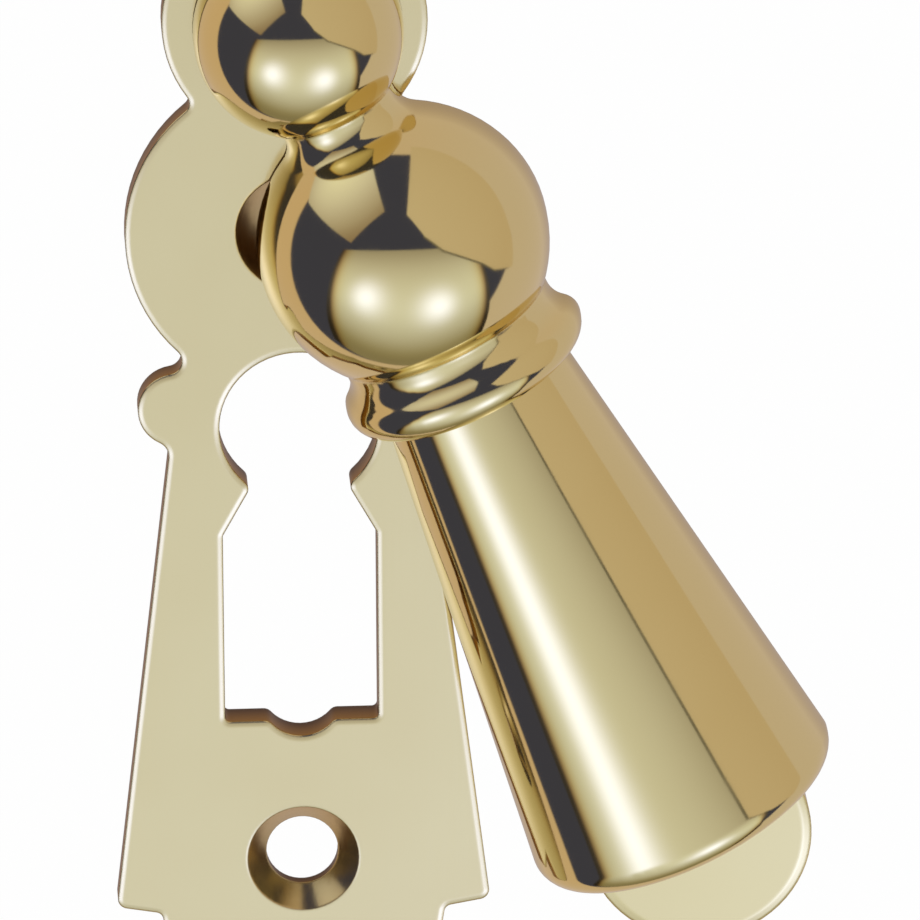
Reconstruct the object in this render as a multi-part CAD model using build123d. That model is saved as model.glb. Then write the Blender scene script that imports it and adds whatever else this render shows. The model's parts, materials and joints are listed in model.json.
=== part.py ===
# Covered keyhole escutcheon: a flat brass backplate and a half-turned swing cover on a riveted pivot.
# Millimetres. The plate stands in the XZ plane with its back on Y = 0, its front looks along -Y and +Z is up.
# The origin is on the back face, at the centre of the keyhole's round eye.

import os
from math import acos, atan2, cos, hypot, pi, radians, sin, sqrt, tan

from build123d import *

os.makedirs("parts", exist_ok=True)

# Backplate outline, as half widths from the centre line and heights from the keyhole's eye
plate_thick = 2.0
edge_ease = 0.3  # width of the buffed front edge
edge_drop = 0.07  # and its depth down the wall
back_ease = 0.5  # bevel around the outline at the back
shoulder_z = 11.56
shoulder_r = 9.63
crown_rise = 12.54  # from the shoulder's centre up to the pivot
crown_r = 7.41
crown_notch_r = 0.6
bead_r = 2.18
bead_half_w = 9.05
bead_gap = 0.62  # between the shoulder's circle and the bead's
bead_notch_r = 0.8
skirt_half_w = 7.16  # at the height of the eye, where the bead hides it
skirt_notch_r = 0.9
foot_half_w = 10.68
foot_drop = 11.25  # from the keyhole's lower end down to the foot's corners
foot_angle = 10.0
foot_corner_r = 0.6
foot_notch_r = 0.45
tongue_rise = 0.15  # from the foot's corners up to the tongue's centre
tongue_r = 8.1

# Keyhole, as half widths and depths below the eye's centre
key_r = 4.48
key_neck_half_w = 2.74
key_slot_half_w = 4.36
key_shoulder_drop = 6.46
key_drop = 17.8
key_scoop_half_w = 1.84
key_scoop_depth = 0.96
key_corner_r = 0.3
key_tip_r = 0.55

# Screw holes for a 3.5 mm countersunk wood screw
screw_hole_r = 2.05
screw_upper_rise = 0.14  # above the shoulder's centre
screw_lower_rise = 2.6  # above the tongue's centre
csk_upper_w = 1.4
csk_lower_w = 1.15
csk_angle = 82.0

# Pivot: the rivet's shank turns in the plate and its peened end holds a washer in the plate's back
rivet_r = 1.6
pin_clearance = 0.05
end_play = 0.05
rivet_depth = 3.3
rivet_end_space = 0.2
rivet_head_w = 0.8
rivet_head_thick = 0.45
rivet_head_ease = 0.2
washer_margin = 0.5
washer_thick = 0.4
recess_space = 0.3
recess_sink = 0.1
land_w = 1.35
land_thick = 0.15

# Swing cover, half of a turned shape on a flat strip: lengths along its axis and turned radii
swing_angle = 24.75
axis_rise = 0.7  # of the turned axis above the cover's flat back
ball_offset = 0.42
ball_r = 5.87
waist_r = 3.35
waist_land = 0.46
waist_cove_r = 1.5
globe_r = 8.2
collar_neck_r = 6.17
collar_land = 0.53
collar_cove_r = 1.38
collar_out = 1.0
torus_r = 1.25
collar_step = 0.5  # from the ring's lower edge in to the body's top
body_len = 29.21
body_end_r = 9.36
body_end_round = 1.25
tab_inset = 1.1  # from the body's end out to the tab's centre
tab_r = 6.45
tab_thick = 2.0
tab_ease = 0.5  # width of the tab's buffed edge
tab_drop = 0.12  # and its depth

# How far a cutting tool reaches past the face that it starts from
cut_over = 1.0


# Plane geometry for outlines made of touching arcs
def along(centre, radius, towards):
    """Point on a circle in the direction of another point."""
    dx, dy = towards[0] - centre[0], towards[1] - centre[1]
    reach = hypot(dx, dy)
    return (centre[0] + radius * dx / reach, centre[1] + radius * dy / reach)


def direction(p, q):
    """Unit vector from p to q."""
    span = hypot(q[0] - p[0], q[1] - p[1])
    return ((q[0] - p[0]) / span, (q[1] - p[1]) / span)


def arc(centre, start, end):
    """The shorter arc about a centre from start to end."""
    a0 = atan2(start[1] - centre[1], start[0] - centre[0])
    a1 = atan2(end[1] - centre[1], end[0] - centre[0])
    turn = (a1 - a0 + pi) % (2 * pi) - pi
    radius = hypot(start[0] - centre[0], start[1] - centre[1])
    middle = a0 + turn / 2
    return ThreePointArc(start, (centre[0] + radius * cos(middle), centre[1] + radius * sin(middle)), end)


def between_circles(c1, r1, c2, r2, reach):
    """Centre of a fillet of radius reach that touches two circles from outside, on their +X side."""
    d1, d2 = r1 + reach, r2 + reach
    dx, dy = c2[0] - c1[0], c2[1] - c1[1]
    gap = hypot(dx, dy)
    run = (d1 * d1 - d2 * d2 + gap * gap) / (2 * gap)
    side = sqrt(d1 * d1 - run * run)
    options = [
        (c1[0] + (run * dx + k * side * dy) / gap, c1[1] + (run * dy - k * side * dx) / gap)
        for k in (1, -1)
    ]
    return max(options)


def beside_line(p, q, centre, radius, reach, crossing):
    """Centre of a fillet that touches the line p to q on its left side and a circle from outside,
    where the line goes into the circle (crossing -1) or comes out of it (crossing 1)."""
    d = direction(p, q)
    base = (p[0] - d[1] * reach, p[1] + d[0] * reach)
    bx, by = base[0] - centre[0], base[1] - centre[1]
    half = bx * d[0] + by * d[1]
    root = sqrt(half * half - (bx * bx + by * by - (radius + reach) ** 2))
    k = crossing * root - half
    return (base[0] + k * d[0], base[1] + k * d[1])


def foot_of(p, q, point):
    """The point of the line p to q that is nearest to another point."""
    d = direction(p, q)
    k = (point[0] - p[0]) * d[0] + (point[1] - p[1]) * d[1]
    return (p[0] + k * d[0], p[1] + k * d[1])


# Backplate outline: the right half from the crown's top to the tongue's tip, then its mirror image
pivot_z = shoulder_z + crown_rise
foot_z = -key_drop - foot_drop
tongue_z = foot_z + tongue_rise
crown_c = (0, pivot_z)
shoulder_c = (0, shoulder_z)
bead_x = bead_half_w - bead_r
bead_c = (bead_x, shoulder_z - sqrt((shoulder_r + bead_gap + bead_r) ** 2 - bead_x**2))
tongue_c = (0, tongue_z)
skirt_top = (skirt_half_w, 0)
foot = (foot_half_w, foot_z)
foot_in = (0, foot_z - foot_half_w * tan(radians(foot_angle)))

n1 = between_circles(crown_c, crown_r, shoulder_c, shoulder_r, crown_notch_r)
n2 = between_circles(shoulder_c, shoulder_r, bead_c, bead_r, bead_notch_r)
n3 = beside_line(skirt_top, foot, bead_c, bead_r, skirt_notch_r, 1)
n4 = beside_line(foot, foot_in, tongue_c, tongue_r, foot_notch_r, -1)

# The foot's corner arc touches the skirt's side and the foot's lower edge
side_dir = direction(skirt_top, foot)
foot_dir = direction(foot, foot_in)
corner = acos(-side_dir[0] * foot_dir[0] - side_dir[1] * foot_dir[1]) / 2
corner_run = foot_corner_r / tan(corner)
corner_a = (foot[0] - corner_run * side_dir[0], foot[1] - corner_run * side_dir[1])
corner_b = (foot[0] + corner_run * foot_dir[0], foot[1] + corner_run * foot_dir[1])
corner_c = (corner_a[0] + foot_corner_r * side_dir[1], corner_a[1] - foot_corner_r * side_dir[0])

right_side = [
    arc(crown_c, (0, pivot_z + crown_r), along(crown_c, crown_r, n1)),
    arc(n1, along(crown_c, crown_r, n1), along(shoulder_c, shoulder_r, n1)),
    arc(shoulder_c, along(shoulder_c, shoulder_r, n1), along(shoulder_c, shoulder_r, n2)),
    arc(n2, along(shoulder_c, shoulder_r, n2), along(bead_c, bead_r, n2)),
    arc(bead_c, along(bead_c, bead_r, n2), along(bead_c, bead_r, n3)),
    arc(n3, along(bead_c, bead_r, n3), foot_of(skirt_top, foot, n3)),
    Line(foot_of(skirt_top, foot, n3), corner_a),
    arc(corner_c, corner_a, corner_b),
    Line(corner_b, foot_of(foot, foot_in, n4)),
    arc(n4, foot_of(foot, foot_in, n4), along(tongue_c, tongue_r, n4)),
    arc(tongue_c, along(tongue_c, tongue_r, n4), (0, tongue_z - tongue_r)),
]
left_side = [half for edge in right_side for half in mirror(edge, about=Plane.YZ).edges()]
outline = make_face(right_side + left_side)

# Keyhole: a round eye, a neck, a wide slot and a shallow scoop in the slot's lower edge
neck_z = -sqrt(key_r**2 - key_neck_half_w**2)
key_right = [
    (key_neck_half_w, neck_z),
    (key_slot_half_w, -key_shoulder_drop),
    (key_slot_half_w, -key_drop),
    (key_scoop_half_w, -key_drop),
]
key_left = [(-x, z) for x, z in reversed(key_right)]
key_edges = [Line(a, b) for a, b in zip(key_right, key_right[1:])]
key_edges += [ThreePointArc(key_right[-1], (0, -key_drop - key_scoop_depth), key_left[0])]
key_edges += [Line(a, b) for a, b in zip(key_left, key_left[1:])]
key_edges += [ThreePointArc(key_left[-1], (0, key_r), key_right[0])]


def rounded(face, points, radius):
    """The face with its corners at the given points, and at their mirror images, rounded."""
    both = [(k * x, z) for x, z in points for k in (1, -1)]
    return fillet([min(face.vertices(), key=lambda v: hypot(v.X - x, v.Y - z)) for x, z in both], radius)


keyhole = rounded(make_face(key_edges), key_right[1:3], key_corner_r)
keyhole = rounded(keyhole, [key_right[0], key_right[3]], key_tip_r)

plate = extrude(Plane.XZ * (outline - keyhole), plate_thick)

# A buffing wheel has rolled off the front edges; the outline's edge at the back is bevelled
front = plate.faces().sort_by(Axis.Y)[0]
plate = chamfer(front.edges(), edge_ease, edge_drop, reference=front)
back = plate.faces().sort_by(Axis.Y)[-1]
plate = chamfer(back.outer_wire().edges(), back_ease)


def from_back(z):
    """Plane on the plate's back at height z, with its normal towards the front."""
    return Plane((0, 0, z), x_dir=(1, 0, 0), z_dir=(0, -1, 0))


def countersunk(rim_w):
    """Tool for a screw hole with a countersink at its front, from the plate's back upwards."""
    rim_r = screw_hole_r + rim_w
    depth = rim_w / tan(radians(csk_angle / 2))
    top = plate_thick + cut_over
    tool = Polyline((0, -cut_over), (screw_hole_r, -cut_over), (screw_hole_r, plate_thick - depth),
                    (rim_r, plate_thick), (rim_r, top), (0, top), close=True)
    return revolve(Plane.XZ * make_face(tool), Axis.Z)


screw_upper_z = shoulder_z + screw_upper_rise
screw_lower_z = tongue_z + screw_lower_rise
plate -= from_back(screw_upper_z) * countersunk(csk_upper_w)
plate -= from_back(screw_lower_z) * countersunk(csk_lower_w)

# Pivot bore and the recess for the washer and the peened end
head_r = rivet_r + rivet_head_w
washer_r = head_r + washer_margin
recess_r = washer_r + recess_space
recess_depth = end_play + washer_thick + rivet_head_thick + recess_sink
bore_r = rivet_r + pin_clearance


def drill(radius, low, high):
    """A round bar from height low to height high along Z."""
    return Pos(0, 0, (low + high) / 2) * Cylinder(radius, high - low)


plate -= from_back(pivot_z) * drill(bore_r, -cut_over, plate_thick + cut_over)
plate -= from_back(pivot_z) * drill(recess_r, -cut_over, recess_depth)

# Swing cover profile: distance along the axis from the pivot, then the turned radius
crease_1 = (ball_offset + sqrt(ball_r**2 - waist_r**2), waist_r)
cove_1 = (crease_1[0] + waist_land, waist_r + waist_cove_r)
globe_c = (cove_1[0] + sqrt((globe_r + waist_cove_r) ** 2 - cove_1[1] ** 2), 0)
crease_2 = (globe_c[0] + sqrt(globe_r**2 - collar_neck_r**2), collar_neck_r)
cove_2 = (crease_2[0] + collar_land, collar_neck_r + collar_cove_r)
collar_r = collar_neck_r + collar_out
ring_r = collar_r - torus_r
torus_c = (cove_2[0] + sqrt((collar_cove_r + torus_r) ** 2 - (cove_2[1] - ring_r) ** 2), ring_r)
ring_end = (torus_c[0] + torus_r, ring_r)
body_top = (ring_end[0], ring_r - collar_step)
body_end = (body_top[0] + body_len, body_end_r)
globe_start = along(globe_c, globe_r, cove_1)
torus_start = along(torus_c, torus_r, cove_2)
tip = (ball_offset - ball_r, 0)

profile = [
    ThreePointArc(tip, (ball_offset, ball_r), crease_1),
    Line(crease_1, (cove_1[0], waist_r)),
    arc(cove_1, (cove_1[0], waist_r), globe_start),
    ThreePointArc(globe_start, (globe_c[0], globe_r), crease_2),
    Line(crease_2, (cove_2[0], collar_neck_r)),
    arc(cove_2, (cove_2[0], collar_neck_r), torus_start),
    ThreePointArc(torus_start, (torus_c[0], collar_r), ring_end),
    Line(ring_end, body_top),
    Line(body_top, body_end),
    Line(body_end, (body_end[0], 0)),
    Line((body_end[0], 0), tip),
]
turned = make_face(profile)
turned = fillet(turned.vertices().sort_by_distance(body_end)[0], body_end_round)
half_round = revolve(turned, Axis.X, revolution_arc=180)
strip = extrude(half_round.faces().sort_by(Axis.Z)[0], axis_rise, dir=(0, 0, -1))
cover = Pos(0, 0, axis_rise) * (half_round + strip)

# Finger tongue: a flat round tab that comes out from under the body's lower end
tab = drill(tab_r, 0, tab_thick)
tab_top = tab.faces().sort_by(Axis.Z)[-1]
tab = chamfer(tab_top.edges(), tab_ease, tab_drop, reference=tab_top)
cover += Pos(body_end[0] + tab_inset, 0, 0) * tab

# The cover's back: a raised land around the pivot and a blind hole for the rivet
swing_gap = land_thick + end_play
cover += drill(bore_r + land_w, -land_thick, 0)
cover -= drill(rivet_r, -land_thick, rivet_depth + rivet_end_space)

# Rivet and washer, in the cover's own frame with the plate's front at -swing_gap
washer_high = recess_depth - plate_thick - swing_gap - end_play
head_high = washer_high - washer_thick
head_low = head_high - rivet_head_thick
head = Pos(0, 0, (head_low + head_high) / 2) * Cone(head_r - rivet_head_ease, head_r, rivet_head_thick)
rivet = drill(rivet_r, head_low, rivet_depth) + head
washer = drill(washer_r, head_high, washer_high) - drill(rivet_r, head_high, washer_high)

# The cover hangs from the pivot, swung to the viewer's right as it rests in the photograph
swing = radians(swing_angle)
pivot = Plane(
    (0, -plate_thick - swing_gap, pivot_z),
    x_dir=(sin(swing), 0, -cos(swing)),
    z_dir=(0, -1, 0),
)
nodes = {
    "backplate": plate,
    "swing_cover": pivot * cover,
    "pivot_rivet": pivot * rivet,
    "rivet_washer": pivot * washer,
}
for name, shape in nodes.items():
    solid = shape.solids()[0]
    solid.label = name
    export_step(solid, f"parts/{name}.step")
    print(name, len(shape.solids()), round(solid.volume, 1), solid.bounding_box())
print("screw spacing", screw_upper_z - screw_lower_z, "pivot height", pivot_z, "bead", bead_c)
print("globe", globe_c, "torus", torus_c, "body", body_top, body_end)
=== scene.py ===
# %% [markdown]
# # A covered keyhole escutcheon in brass
#
# The object is a flat brass plate with a keyhole, and a half-round cover that swings over it on a rivet. Its
# shape is already true in the CAD model, so this lesson is about the rest: where the camera stood, what each
# brass surface went through in the workshop, and what a polished surface has around it to mirror.

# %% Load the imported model
import json
from math import cos, exp, radians, sin

import bpy
from mathutils import Matrix, Vector

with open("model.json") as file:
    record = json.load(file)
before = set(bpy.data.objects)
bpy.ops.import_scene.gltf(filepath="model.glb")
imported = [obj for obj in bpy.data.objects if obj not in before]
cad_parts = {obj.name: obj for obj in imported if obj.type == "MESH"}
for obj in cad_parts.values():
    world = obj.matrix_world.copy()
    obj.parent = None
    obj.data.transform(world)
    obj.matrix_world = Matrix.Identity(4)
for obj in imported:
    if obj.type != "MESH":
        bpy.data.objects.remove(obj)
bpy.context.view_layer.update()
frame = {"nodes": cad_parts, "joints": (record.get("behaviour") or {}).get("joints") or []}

MM = 0.001
scene = bpy.context.scene
scene.view_settings.view_transform = "Standard"
nodes = frame["nodes"]

# %% [markdown]
# ## The camera
#
# The photograph was taken from a little above and a little to the left, from far enough away that the
# upright sides hardly converge. A camera can be aimed by eye, but the pivot is a point that both the plate
# and the cover turn about, so it is tied to its place in the picture: the view is set by three angles, a
# distance, a scale at the pivot, and where the pivot falls in a picture of 920 by 920 pixels.

# %% Camera
PICTURE = 920
PIXELS_PER_MM = 18.0
DISTANCE_MM = 660.0
PIVOT_PIXEL = (294.67, 22.23)
SENSOR_MM = 36.0
turn, lift, roll = radians(-3.2), radians(21.0), radians(-0.3)

back = Vector((sin(turn) * cos(lift), -cos(turn) * cos(lift), sin(lift)))
level = Vector((cos(turn), sin(turn), 0))
right = Matrix.Rotation(roll, 3, back) @ level
up = back.cross(right)
pivot = Vector(frame["joints"][0]["pos_m"])
aside = (PIVOT_PIXEL[0] - PICTURE / 2) / PIXELS_PER_MM * MM
above = (PICTURE / 2 - PIVOT_PIXEL[1]) / PIXELS_PER_MM * MM
stand = pivot + back * DISTANCE_MM * MM - right * aside - up * above

camera = bpy.data.objects.new("camera", bpy.data.cameras.new("camera"))
camera.data.sensor_width = SENSOR_MM
camera.data.lens = DISTANCE_MM * PIXELS_PER_MM / PICTURE * SENSOR_MM
camera.matrix_world = Matrix.Translation(stand) @ Matrix((right, up, back)).transposed().to_4x4()
scene.collection.objects.link(camera)
scene.camera = camera
print("camera at", [round(c / MM, 1) for c in stand], "mm, lens", round(camera.data.lens, 1), "mm")

# %% [markdown]
# ## Small tools for materials
#
# Colours are easiest to think of as the hex values of a paint program, but the renderer works with linear
# light, so one function turns the first into the second. A second function adds a node with its settings and
# links, which keeps each material readable as a list of what it is made of. The last two start a material
# and put it on pieces of the CAD model, whose shapes stay as they are.

# %% Colour, node and material helpers
def linear(code):
    """Linear RGBA of an sRGB hex colour."""
    parts = [int(code[i:i + 2], 16) / 255 for i in (1, 3, 5)]
    return [c / 12.92 if c <= 0.04045 else ((c + 0.055) / 1.055) ** 2.4 for c in parts] + [1.0]


def add(tree, kind, inputs=None, stops=(), **settings):
    """Add a node, set its properties, fill its sockets with values or with other nodes' outputs, and give a
    colour ramp its stops, as positions with linear colours."""
    made = tree.nodes.new(kind)
    for name, value in settings.items():
        setattr(made, name, value)
    if stops:
        ramp = made.color_ramp
        ramp.interpolation = "B_SPLINE"
        while len(ramp.elements) < len(stops):
            ramp.elements.new(0.5)
        for element, (position, colour) in zip(ramp.elements, stops):
            element.position = position
            element.color = (*colour, 1)
    for socket, value in (inputs or {}).items():
        if isinstance(value, bpy.types.NodeSocket):
            tree.links.new(value, made.inputs[socket])
        else:
            made.inputs[socket].default_value = value
    return made


def new_material(name):
    """An empty node material, its tree, and its output node."""
    material = bpy.data.materials.new(name)
    material.use_nodes = True
    material.node_tree.nodes.clear()
    return material, material.node_tree, add(material.node_tree, "ShaderNodeOutputMaterial")


def dress(material, *names):
    """Give CAD pieces a material in place of the one they came with."""
    for name in names:
        nodes[name].data.materials.clear()
        nodes[name].data.materials.append(material)
    print("made", material.name, "for", *names)


# A colour mix has its two colours in these sockets and its result in this output
COLOUR_A, COLOUR_B, MIXED = 6, 7, 2

print("polished brass is", [round(c, 3) for c in linear("#E6D08E")[:3]], "in linear light")

# %% [markdown]
# ## Satin brass for the plate
#
# The plate was linished up and down on a fine belt, lightly buffed and lacquered, so it gathers the light of
# a whole region into one even straw tone, with a faint upright grain. The grain could be a painted image,
# but a noise that is stretched along the belt's direction has no seam and can be sized in millimetres:
# scratches a quarter of a millimetre apart and about ten long, which is coarser than the real belt's grit so
# that it shows at all. A second noise, of patches nine millimetres wide, lets the tone drift a little.

# %% Satin brass: grain and tone
GRAIN_APART_MM = 0.25
GRAIN_LONG_MM = 10.0
PATCH_MM = 9.0

satin, tree, out = new_material("satin_brass_linished_and_lacquered")
place = add(tree, "ShaderNodeTexCoord")
stretch = add(tree, "ShaderNodeMapping", {
    "Vector": place.outputs["Object"],
    "Scale": (1 / (GRAIN_APART_MM * MM), 1 / (GRAIN_APART_MM * MM), 1 / (GRAIN_LONG_MM * MM)),
})
grain = add(tree, "ShaderNodeTexNoise", {"Vector": stretch.outputs[0], "Scale": 1.0, "Detail": 3.0})
patch = add(tree, "ShaderNodeTexNoise", {
    "Vector": place.outputs["Object"], "Scale": 1 / (PATCH_MM * MM), "Detail": 2.0,
})
tone = add(tree, "ShaderNodeMix", {
    "Factor": patch.outputs["Fac"], COLOUR_A: linear("#E4CE93"), COLOUR_B: linear("#EAD69C"),
}, data_type="RGBA")
print("grain", GRAIN_APART_MM, "by", GRAIN_LONG_MM, "mm, patches", PATCH_MM, "mm")

# %% [markdown]
# The walls of the outline and of the holes, and the back, were never polished, so they are rougher. The
# walls are browner, partly as raw metal and partly as painted shade, and the back is stained in patches.
# They could be separate faces with a material of their own, but the direction of the surface already tells
# them apart: walls face sideways, countersinks halfway, and the back faces the door. A wall also darkens
# towards the back with painted shade.

# %% Satin brass: raw walls with painted shade, and back
# Where the walls' painted shade starts at the front and where it is darkest at the back
WALL_SHADE_FRONT_MM = -1.9
WALL_SHADE_BACK_MM = -0.3
BACK_STAIN = 0.4
# How squarely a surface faces the door, up to 1, where it starts to count as the back and where it fully does
DOOR_SIDE_STARTS = 0.8
DOOR_SIDE_FULL = 0.95

facing = add(tree, "ShaderNodeSeparateXYZ", {"Vector": place.outputs["Normal"]})
flatness = add(tree, "ShaderNodeMath", {0: facing.outputs["Y"]}, operation="ABSOLUTE")
wall = add(tree, "ShaderNodeMapRange", {
    "Value": flatness.outputs[0], "From Min": 0.35, "From Max": 0.85, "To Min": 1.0, "To Max": 0.0,
})
behind = add(tree, "ShaderNodeMapRange", {
    "Value": facing.outputs["Y"], "From Min": DOOR_SIDE_STARTS, "From Max": DOOR_SIDE_FULL,
    "To Max": BACK_STAIN,
})
stain = add(tree, "ShaderNodeMath", {0: behind.outputs[0], 1: patch.outputs["Fac"]}, operation="MULTIPLY")
raw = add(tree, "ShaderNodeMath", {0: wall.outputs[0], 1: stain.outputs[0]}, operation="MAXIMUM")
spot = add(tree, "ShaderNodeSeparateXYZ", {"Vector": place.outputs["Object"]})
# Painted shade: the wall colour darkens from the front edge towards the back
painted_shade_depth = add(tree, "ShaderNodeMapRange", {
    "Value": spot.outputs["Y"], "From Min": WALL_SHADE_FRONT_MM * MM, "From Max": WALL_SHADE_BACK_MM * MM,
})
skin = add(tree, "ShaderNodeMix", {
    "Factor": painted_shade_depth.outputs[0], COLOUR_A: linear("#A87A2C"), COLOUR_B: linear("#5F4018"),
}, data_type="RGBA")
# The walls' brown is partly raw metal and partly painted shade; the back's patches are stains
tone_walls_and_painted_shade = add(tree, "ShaderNodeMix", {
    "Factor": raw.outputs[0], COLOUR_A: tone.outputs[MIXED], COLOUR_B: skin.outputs[MIXED],
}, data_type="RGBA")
print("walls darken from", WALL_SHADE_FRONT_MM, "to", WALL_SHADE_BACK_MM, "mm")

# %% [markdown]
# The roughness follows the grain, so the sheen breaks up along the belt's direction. Buffing also rolled off
# the front edge. The CAD model has that as one narrow bevel. More facets would make it rounder and heavier,
# so a bevel in the shading carries it round smoothly into the wall.

# %% Satin brass: sheen, edge and scratches
EDGE_MM = 0.22
EDGE_SAMPLES = 8
SCRATCH_MM = 0.02
RAW_ROUGHER = 0.2
# A noise seldom leaves this range
NOISE_LOW = 0.3
NOISE_HIGH = 0.7

sheen = add(tree, "ShaderNodeMapRange", {
    "Value": grain.outputs["Fac"], "From Min": NOISE_LOW, "From Max": NOISE_HIGH,
    "To Min": 0.11, "To Max": 0.15,
})
rough = add(tree, "ShaderNodeMath", {0: raw.outputs[0], 1: RAW_ROUGHER, 2: sheen.outputs[0]},
            operation="MULTIPLY_ADD")
round_edge = add(tree, "ShaderNodeBevel", {"Radius": EDGE_MM * MM}, samples=EDGE_SAMPLES)
scratch = add(tree, "ShaderNodeBump", {
    "Height": grain.outputs["Fac"], "Strength": 0.09, "Distance": SCRATCH_MM * MM,
    "Normal": round_edge.outputs[0],
})
shade = add(tree, "ShaderNodeBsdfPrincipled", {
    "Base Color": tone_walls_and_painted_shade.outputs[MIXED], "Metallic": 1.0, "Roughness": rough.outputs[0],
    "Normal": scratch.outputs[0],
})
tree.links.new(shade.outputs[0], out.inputs["Surface"])
dress(satin, "backplate")

# %% [markdown]
# ## Polished brass for the cover
#
# The cover was cast from a turned pattern, buffed on a cloth wheel and lacquered, so it is close to a
# mirror: what one sees on it is the studio. So the roughness varies a little from place to place, and a
# very shallow waviness is left from the wheel.

# %% Polished brass: tone and haze
BUFF_WAVE_MM = 6.0
HAZE_MM = 1.5

polished, tree, out = new_material("polished_brass_buffed_and_lacquered")
place = add(tree, "ShaderNodeTexCoord")
wave = add(tree, "ShaderNodeTexNoise", {
    "Vector": place.outputs["Object"], "Scale": 1 / (BUFF_WAVE_MM * MM), "Detail": 1.0,
})
haze = add(tree, "ShaderNodeTexNoise", {
    "Vector": place.outputs["Object"], "Scale": 1 / (HAZE_MM * MM), "Detail": 4.0,
})
tone = add(tree, "ShaderNodeMix", {
    "Factor": wave.outputs["Fac"], COLOUR_A: linear("#E6D08E"), COLOUR_B: linear("#E8D393"),
}, data_type="RGBA")
gloss = add(tree, "ShaderNodeMapRange", {
    "Value": haze.outputs["Fac"], "From Min": NOISE_LOW, "From Max": NOISE_HIGH,
    "To Min": 0.055, "To Max": 0.085,
})
print("waves", BUFF_WAVE_MM, "mm, haze", HAZE_MM, "mm")

# %% [markdown]
# The flat back kept the skin of the sand mould: dull, brown and speckled with fine pits. Its brown is
# partly painted shade: the shade under the cover, which the plate's upper countersink mirrors. It could
# be a face with a material of its own, but as on the plate, the direction of the surface finds it. The real
# sand is finer than a third of a millimetre and is drawn that coarse to show.

# %% Polished brass: cast back with painted shade
SAND_MM = 0.35
PIT_MM = 0.05
PIT_STRENGTH = 0.5
CAST_ROUGHER = 0.35

facing = add(tree, "ShaderNodeSeparateXYZ", {"Vector": place.outputs["Normal"]})
raw = add(tree, "ShaderNodeMapRange", {
    "Value": facing.outputs["Y"], "From Min": DOOR_SIDE_STARTS, "From Max": DOOR_SIDE_FULL,
})
sand = add(tree, "ShaderNodeTexNoise", {
    "Vector": place.outputs["Object"], "Scale": 1 / (SAND_MM * MM), "Detail": 3.0,
})
# Painted shade: the back's sand-skin brown also stands in for the shade under the cover
sand_skin_and_painted_shade = add(tree, "ShaderNodeMix", {
    "Factor": sand.outputs["Fac"], COLOUR_A: linear("#7A623E"), COLOUR_B: linear("#C4A671"),
}, data_type="RGBA")
cast_back_and_painted_shade = add(tree, "ShaderNodeMix", {
    "Factor": raw.outputs[0], COLOUR_A: tone.outputs[MIXED], COLOUR_B: sand_skin_and_painted_shade.outputs[MIXED],
}, data_type="RGBA")
rough = add(tree, "ShaderNodeMath", {0: raw.outputs[0], 1: CAST_ROUGHER, 2: gloss.outputs[0]},
            operation="MULTIPLY_ADD")
pitting = add(tree, "ShaderNodeMath", {0: raw.outputs[0], 1: PIT_STRENGTH}, operation="MULTIPLY")
print("sand", SAND_MM, "mm")

# %% [markdown]
# Three layers make the surface that the light meets: the buffed edges, the wheel's waves, and the mould's
# pits on the back alone. They could be modelled, but the waves and pits are at most a twentieth of a
# millimetre deep and only show in how the light glances, so each layer bends the shading of the one before.

# %% Polished brass: surface
BUFFED_EDGE_MM = 0.3
WAVE_DEEP_MM = 0.02

round_edge = add(tree, "ShaderNodeBevel", {"Radius": BUFFED_EDGE_MM * MM}, samples=EDGE_SAMPLES)
ripple = add(tree, "ShaderNodeBump", {
    "Height": wave.outputs["Fac"], "Strength": 0.1, "Distance": WAVE_DEEP_MM * MM,
    "Normal": round_edge.outputs[0],
})
grit = add(tree, "ShaderNodeBump", {
    "Height": sand.outputs["Fac"], "Strength": pitting.outputs[0], "Distance": PIT_MM * MM,
    "Normal": ripple.outputs[0],
})
shade = add(tree, "ShaderNodeBsdfPrincipled", {
    "Base Color": cast_back_and_painted_shade.outputs[MIXED], "Metallic": 1.0, "Roughness": rough.outputs[0],
    "Normal": grit.outputs[0],
})
tree.links.new(shade.outputs[0], out.inputs["Surface"])
dress(polished, "swing_cover")

# %% [markdown]
# ## Drawn brass for the rivet and its washer
#
# They sit at the back, where nobody polishes. The peened end has the small dents of a hammer, and both have
# a duller, browner skin than the front. The dents could be modelled, but at under a tenth of a millimetre a
# bump from a cell pattern gives the same glints.

# %% Drawn brass
HAMMER_MM = 0.8
DENT_MM = 0.05
SKIN_MM = 0.6

drawn, tree, out = new_material("drawn_brass_peened")
place = add(tree, "ShaderNodeTexCoord")
dent = add(tree, "ShaderNodeTexVoronoi", {
    "Vector": place.outputs["Object"], "Scale": 1 / (HAMMER_MM * MM),
}, feature="SMOOTH_F1")
skin = add(tree, "ShaderNodeTexNoise", {
    "Vector": place.outputs["Object"], "Scale": 1 / (SKIN_MM * MM), "Detail": 4.0,
})
tone = add(tree, "ShaderNodeMix", {
    "Factor": skin.outputs["Fac"], COLOUR_A: linear("#C2A264"), COLOUR_B: linear("#D9BF83"),
}, data_type="RGBA")
rough = add(tree, "ShaderNodeMapRange", {"Value": skin.outputs["Fac"], "To Min": 0.22, "To Max": 0.42})
hammered = add(tree, "ShaderNodeBump", {
    "Height": dent.outputs["Distance"], "Strength": 0.35, "Distance": DENT_MM * MM,
})
shade = add(tree, "ShaderNodeBsdfPrincipled", {
    "Base Color": tone.outputs[MIXED], "Metallic": 1.0, "Roughness": rough.outputs[0],
    "Normal": hammered.outputs[0],
})
tree.links.new(shade.outputs[0], out.inputs["Surface"])
dress(drawn, "pivot_rivet", "rivet_washer")

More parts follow.
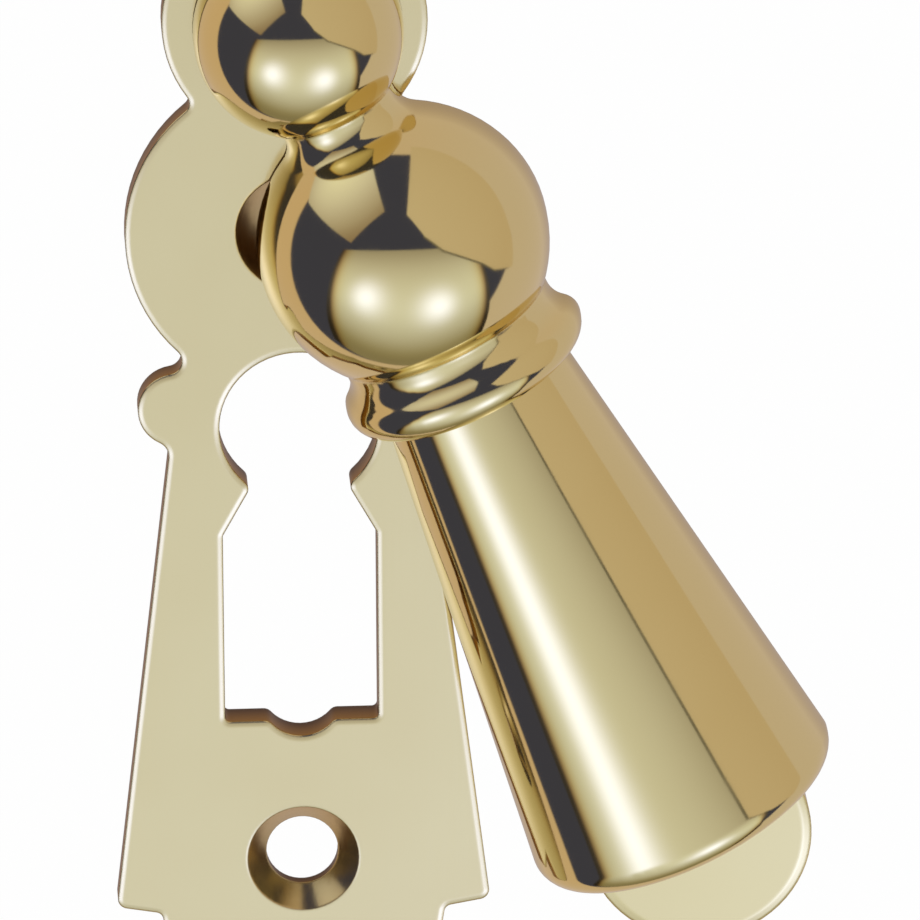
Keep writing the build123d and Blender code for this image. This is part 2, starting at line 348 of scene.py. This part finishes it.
# %% [markdown]
# ## White floor and white surroundings
#
# The picture has a plain white ground. It could be lit until it burns out, but that would light the object
# too. Light Path instead makes the world and the floor white where the camera, a mirror or a glass looks at
# them. Elsewhere the world keeps a plain soft level and the floor is plain white paper. Both need the same
# test, so a loop makes it in both trees.

# %% World and floor materials
SOFT_LEVEL = 0.95
GLOW_SHARE = 0.9  # the rest of the floor's white is paper, which can take a shadow

world = bpy.data.worlds.new("white_studio")
world.use_nodes = True
world.node_tree.nodes.clear()
scene.world = world
white, floor_tree, out = new_material("white_floor")

seen = {}
for name, tree in (("world", world.node_tree), ("floor", floor_tree)):
    path = add(tree, "ShaderNodeLightPath")
    direct = add(tree, "ShaderNodeMath", {
        0: path.outputs["Is Camera Ray"], 1: path.outputs["Is Glossy Ray"],
    }, operation="MAXIMUM")
    seen[name] = add(tree, "ShaderNodeMath", {
        0: direct.outputs[0], 1: path.outputs["Is Transmission Ray"],
    }, operation="MAXIMUM").outputs[0]

tree = world.node_tree
strength = add(tree, "ShaderNodeMapRange", {"Value": seen["world"], "To Min": SOFT_LEVEL, "To Max": 1.0})
sky = add(tree, "ShaderNodeBackground", {"Color": (1, 1, 1, 1), "Strength": strength.outputs[0]})
add(tree, "ShaderNodeOutputWorld", {"Surface": sky.outputs[0]})

tree = floor_tree
paper = add(tree, "ShaderNodeBsdfDiffuse", {"Color": linear("#FCFCFB")})
glow = add(tree, "ShaderNodeEmission", {"Color": (1, 1, 1, 1), "Strength": 1.0})
share = add(tree, "ShaderNodeMath", {0: seen["floor"], 1: GLOW_SHARE}, operation="MULTIPLY")
mix = add(tree, "ShaderNodeMixShader", {0: share.outputs[0], 1: paper.outputs[0], 2: glow.outputs[0]})
tree.links.new(mix.outputs[0], out.inputs["Surface"])
print("made", world.name, "and", white.name)

# %% [markdown]
# The picture shows no shadow on its white ground. A floor close under the object would catch one, so the
# floor is a plain wide sheet that lies far below.

# %% Floor
FLOOR_DROP = 1.5
FLOOR_HALF = 6.0

mesh = bpy.data.meshes.new("floor")
corners = [(x * FLOOR_HALF, y * FLOOR_HALF, 0) for x, y in ((-1, -1), (1, -1), (1, 1), (-1, 1))]
mesh.from_pydata(corners, [], [(0, 1, 2, 3)])
floor = bpy.data.objects.new("floor", mesh)
floor.location.z = -FLOOR_DROP
mesh.materials.append(white)
scene.collection.objects.link(floor)
print("floor", FLOOR_DROP, "m below the keyhole")

# %% [markdown]
# ## What the metal mirrors
#
# Polished metal has hardly any look of its own. The photograph shows its studio in the cover's large ball: a
# wide white paper low in front with the glow of two lamps on it, a pale card at the upper left, a warm card
# at the right, a dark room towards the camera and a pale warm wall behind. Lamps alone would give small
# spots on black, so the paper and the cards are flat sheets that shine by themselves. Each is placed by the
# direction in which the large ball sees it and drawn in tangents about that direction, so its outline can be
# read off the ball. None of them is seen by the camera.

# %% Cards
FOCUS = Vector((0.0058, -0.002, 0.0114))  # near the large ball's centre


def toward(turn_deg, lift_deg):
    """Unit vectors out from the object, to the right and up for a direction; turn 0 is straight in front."""
    t, f = radians(turn_deg), radians(lift_deg)
    out_dir = Vector((sin(t) * cos(f), -cos(t) * cos(f), sin(f)))
    side = Vector((cos(t), sin(t), 0))
    return out_dir, side, side.cross(-out_dir)


def hide_from_camera(obj):
    """Leave a stage piece to mirrors alone: it isn't seen and throws no shadow."""
    obj.visible_camera = False
    obj.visible_shadow = False
    obj.visible_diffuse = False


def hang(name, direction, distance, corners, material):
    """A flat card at a distance, with corners in tangents to the right and up about its direction."""
    out_dir, side, above = toward(*direction)
    mesh = bpy.data.meshes.new(name)
    mesh.from_pydata([(x, y, 0) for x, y in corners], [], [list(range(len(corners)))])
    mesh.materials.append(material)
    card = bpy.data.objects.new(name, mesh)
    turned = Matrix((side, above, -out_dir)).transposed().to_4x4()
    card.matrix_world = Matrix.Translation(FOCUS + out_dir * distance) @ turned @ Matrix.Scale(distance, 4)
    scene.collection.objects.link(card)
    hide_from_camera(card)
    print("card", name, "at", [round(c, 2) for c in card.location])


print("cards are placed about", [round(c / MM, 1) for c in FOCUS], "mm")

# %% [markdown]
# The paper in front is brightest in the middle and fades towards both ends. At its sides it turns warm and
# then nearly as dark as the room, and two hot spots show where the lamps hit it. Real lamps over a real
# sheet would do this with much noise. Instead, a colour ramp along the paper gives the first, a ramp across
# it gives the sides, and two bell curves give the lamps. A ramp holds no value over 1, so all of them hold
# half of the light and the shader doubles it.

# %% White paper with two lamps on it
DOUBLED = 2.0
PAPER_FADE = 1.25
PAPER_HALF_WIDTH = 1.43
PAPER_WIDENS = 0.3
LAMP_HALF_LIGHT = (0.31, 0.4, 1.1)
LAMPS = ((-0.61, 0.116, 0.27), (0.375, 0.02, 0.25))  # to the right, up, and the reach of the glow

paper_light, tree, out = new_material("white_paper_with_two_lamps")
place = add(tree, "ShaderNodeTexCoord")
spot = add(tree, "ShaderNodeSeparateXYZ", {"Vector": place.outputs["Object"]})
along = add(tree, "ShaderNodeMapRange", {
    "Value": spot.outputs["Y"], "From Min": -PAPER_FADE, "From Max": PAPER_FADE,
})
fade = add(tree, "ShaderNodeValToRGB", {"Fac": along.outputs[0]}, stops=[
    (0.0, (0.125, 0.12, 0.1)), (0.18, (0.17, 0.165, 0.13)), (0.38, (0.345, 0.39, 0.53)),
    (0.54, (0.41, 0.47, 0.61)), (0.78, (0.3, 0.315, 0.38)), (1.0, (0.15, 0.145, 0.15)),
])
half_width = add(tree, "ShaderNodeMath", {0: spot.outputs["Y"], 1: PAPER_WIDENS, 2: PAPER_HALF_WIDTH},
                 operation="MULTIPLY_ADD")
from_middle = add(tree, "ShaderNodeMath", {0: spot.outputs["X"]}, operation="ABSOLUTE")
ratio = add(tree, "ShaderNodeMath", {0: from_middle.outputs[0], 1: half_width.outputs[0]},
            operation="DIVIDE")
edge = add(tree, "ShaderNodeMapRange", {"Value": ratio.outputs[0], "From Min": 0.6, "From Max": 1.12})
rim = add(tree, "ShaderNodeValToRGB", {"Fac": edge.outputs[0]}, stops=[
    (0.0, (1, 1, 1)), (0.35, (1, 1, 0.97)), (0.6, (0.94, 0.84, 0.62)), (0.78, (0.62, 0.46, 0.3)),
    (0.9, (0.2, 0.14, 0.12)), (1.0, (0.08, 0.08, 0.1)),
])
light = add(tree, "ShaderNodeVectorMath", {0: fade.outputs[0], 1: rim.outputs[0]}, operation="MULTIPLY")
for x, y, reach in LAMPS:
    away = add(tree, "ShaderNodeVectorMath", {0: place.outputs["Object"], 1: (x, y, 0)},
               operation="DISTANCE")
    bell = add(tree, "ShaderNodeMath", {0: away.outputs["Value"], 1: reach}, operation="DIVIDE")
    bell = add(tree, "ShaderNodeMath", {0: bell.outputs[0], 1: 2.0}, operation="POWER")
    bell = add(tree, "ShaderNodeMath", {0: exp(-1), 1: bell.outputs[0]}, operation="POWER")
    lamp = add(tree, "ShaderNodeVectorMath", {0: LAMP_HALF_LIGHT, "Scale": bell.outputs[0]},
               operation="SCALE")
    light = add(tree, "ShaderNodeVectorMath", {0: light.outputs[0], 1: lamp.outputs[0]}, operation="ADD")
glow = add(tree, "ShaderNodeEmission", {"Color": light.outputs[0], "Strength": DOUBLED})
tree.links.new(glow.outputs[0], out.inputs["Surface"])
hang("paper_in_front", (2, -36), 0.42, [
    (-2.0, 1.17), (-1.25, -1.6), (1.25, -1.6), (2.0, 1.17),
], paper_light)

# %% [markdown]
# The pale card at the upper left is lit from one side, so it is brightest left of its middle and falls off
# towards the corner nearest the camera. A ramp by the distance from the bright spot gives that with no lamp.

# %% Pale card
PALE_SPOT = (-0.42, 0.2, 0)

pale, tree, out = new_material("pale_card")
place = add(tree, "ShaderNodeTexCoord")
away = add(tree, "ShaderNodeVectorMath", {0: place.outputs["Object"], 1: PALE_SPOT}, operation="DISTANCE")
fade = add(tree, "ShaderNodeValToRGB", {"Fac": away.outputs["Value"]}, stops=[
    (0.0, (0.48, 0.53, 0.6)), (0.4, (0.36, 0.38, 0.48)), (0.75, (0.22, 0.205, 0.205)),
    (1.0, (0.14, 0.11, 0.1)),
])
glow = add(tree, "ShaderNodeEmission", {"Color": fade.outputs[0], "Strength": DOUBLED})
tree.links.new(glow.outputs[0], out.inputs["Surface"])
hang("pale_card", (-58, 45), 0.4, [
    (-0.79, -0.297), (0.247, -0.584), (0.487, 0.063), (-0.162, 0.5), (-0.651, 0.68), (-1.2, 0.6),
], pale)

# %% [markdown]
# The warm card at the right is nearly even, a little darker to its right. A thin dark line separates it from
# the paper on the cover's body, as if its lower edge threw a shade. A real shadow would need a lamp and a
# wall, so a dark card hangs a little further out and shows only along that edge.

# %% Warm card and the shade under it
WARM_WAY = (52, 30)

warm, tree, out = new_material("warm_card")
place = add(tree, "ShaderNodeTexCoord")
spot = add(tree, "ShaderNodeSeparateXYZ", {"Vector": place.outputs["Object"]})
across = add(tree, "ShaderNodeMapRange", {"Value": spot.outputs["X"], "From Min": -0.8, "From Max": 0.7})
tint = add(tree, "ShaderNodeMix", {
    "Factor": across.outputs[0], COLOUR_A: (0.64, 0.59, 0.58, 1), COLOUR_B: (0.585, 0.515, 0.475, 1),
}, data_type="RGBA")
glow = add(tree, "ShaderNodeEmission", {"Color": tint.outputs[MIXED], "Strength": 1.0})
tree.links.new(glow.outputs[0], out.inputs["Surface"])
hang("warm_card", WARM_WAY, 0.38, [
    (-0.796, 0.445), (-0.661, -0.036), (-0.441, -0.333), (0.179, -0.715), (0.48, -0.943), (1.15, -1.15),
    (1.05, -0.841), (0.87, -0.273), (0.78, 0.202), (0.65, 0.731), (0.42, 1.855),
], warm)

shade_under, tree, out = new_material("shade_under_the_warm_card")
glow = add(tree, "ShaderNodeEmission", {"Color": (0.15, 0.15, 0.16, 1), "Strength": 1.0})
tree.links.new(glow.outputs[0], out.inputs["Surface"])
hang("shade_under", WARM_WAY, 0.39, [
    (-0.6, 0.2), (-0.69, -0.05), (-0.465, -0.358), (0.165, -0.742), (0.47, -0.97), (1.0, -1.12), (0.6, 0),
], shade_under)

# %% [markdown]
# Behind the cards is the room: dark towards the camera, and a pale warm wall behind the object, which is
# darker straight behind it. The wall starts a little further back on the left and further forward at the
# lower right. The room could be a box, but a round shell closes the view in every direction that the metal
# can mirror and has no corners to show, and its colour simply follows the direction from its centre.

# %% Room: where the wall starts
LEFT_HELD_BACK = 0.15
LOW_RIGHT_FORWARD = 0.6

room_light, tree, out = new_material("dark_room_with_pale_wall")
place = add(tree, "ShaderNodeTexCoord")
spot = add(tree, "ShaderNodeVectorMath", {0: place.outputs["Object"]}, operation="NORMALIZE")
way = add(tree, "ShaderNodeSeparateXYZ", {"Vector": spot.outputs[0]})
on_left = add(tree, "ShaderNodeMath", {0: way.outputs["X"], 1: 0.0}, operation="MINIMUM")
behind = add(tree, "ShaderNodeMath", {0: on_left.outputs[0], 1: LEFT_HELD_BACK, 2: way.outputs["Y"]},
             operation="MULTIPLY_ADD")
on_right = add(tree, "ShaderNodeMath", {0: way.outputs["X"], 1: 0.0}, operation="MAXIMUM")
below = add(tree, "ShaderNodeMath", {0: way.outputs["Z"], 1: -LOW_RIGHT_FORWARD}, operation="MULTIPLY")
below = add(tree, "ShaderNodeMath", {0: below.outputs[0], 1: 0.0}, operation="MAXIMUM")
behind = add(tree, "ShaderNodeMath", {0: on_right.outputs[0], 1: below.outputs[0], 2: behind.outputs[0]},
             operation="MULTIPLY_ADD")
zone = add(tree, "ShaderNodeMapRange", {"Value": behind.outputs[0], "From Min": 0.02, "From Max": 0.05})
print("wall and dark room are told apart in", room_light.name)

# %% [markdown]
# The wall's light is warmer on the left and cooler on the right, and it falls off straight behind the
# object. Mixing one colour into the next keeps every change soft, as on a real wall.

# %% Room: colours and shell
ROOM_RADIUS = 1.4

across = add(tree, "ShaderNodeMapRange", {"Value": way.outputs["X"], "From Min": -0.9, "From Max": 0.9})
wall = add(tree, "ShaderNodeMix", {
    "Factor": across.outputs[0], COLOUR_A: (0.65, 0.53, 0.46, 1), COLOUR_B: (0.62, 0.58, 0.65, 1),
}, data_type="RGBA")
deep = add(tree, "ShaderNodeMapRange", {"Value": way.outputs["Y"], "From Min": 0.72, "From Max": 0.98})
rear = add(tree, "ShaderNodeMix", {
    "Factor": deep.outputs[0], COLOUR_A: wall.outputs[MIXED], COLOUR_B: (0.4, 0.33, 0.31, 1),
}, data_type="RGBA")
both = add(tree, "ShaderNodeMix", {
    "Factor": zone.outputs[0], COLOUR_A: (0.053, 0.062, 0.15, 1), COLOUR_B: rear.outputs[MIXED],
}, data_type="RGBA")
glow = add(tree, "ShaderNodeEmission", {"Color": both.outputs[MIXED], "Strength": 1.0})
tree.links.new(glow.outputs[0], out.inputs["Surface"])

bpy.ops.mesh.primitive_uv_sphere_add(segments=48, ring_count=24, radius=ROOM_RADIUS, location=FOCUS)
room = bpy.context.object
room.name = "room"
room.data.materials.append(room_light)
hide_from_camera(room)
print("room radius", ROOM_RADIUS, "m")

# %% Finish
print("scene built")
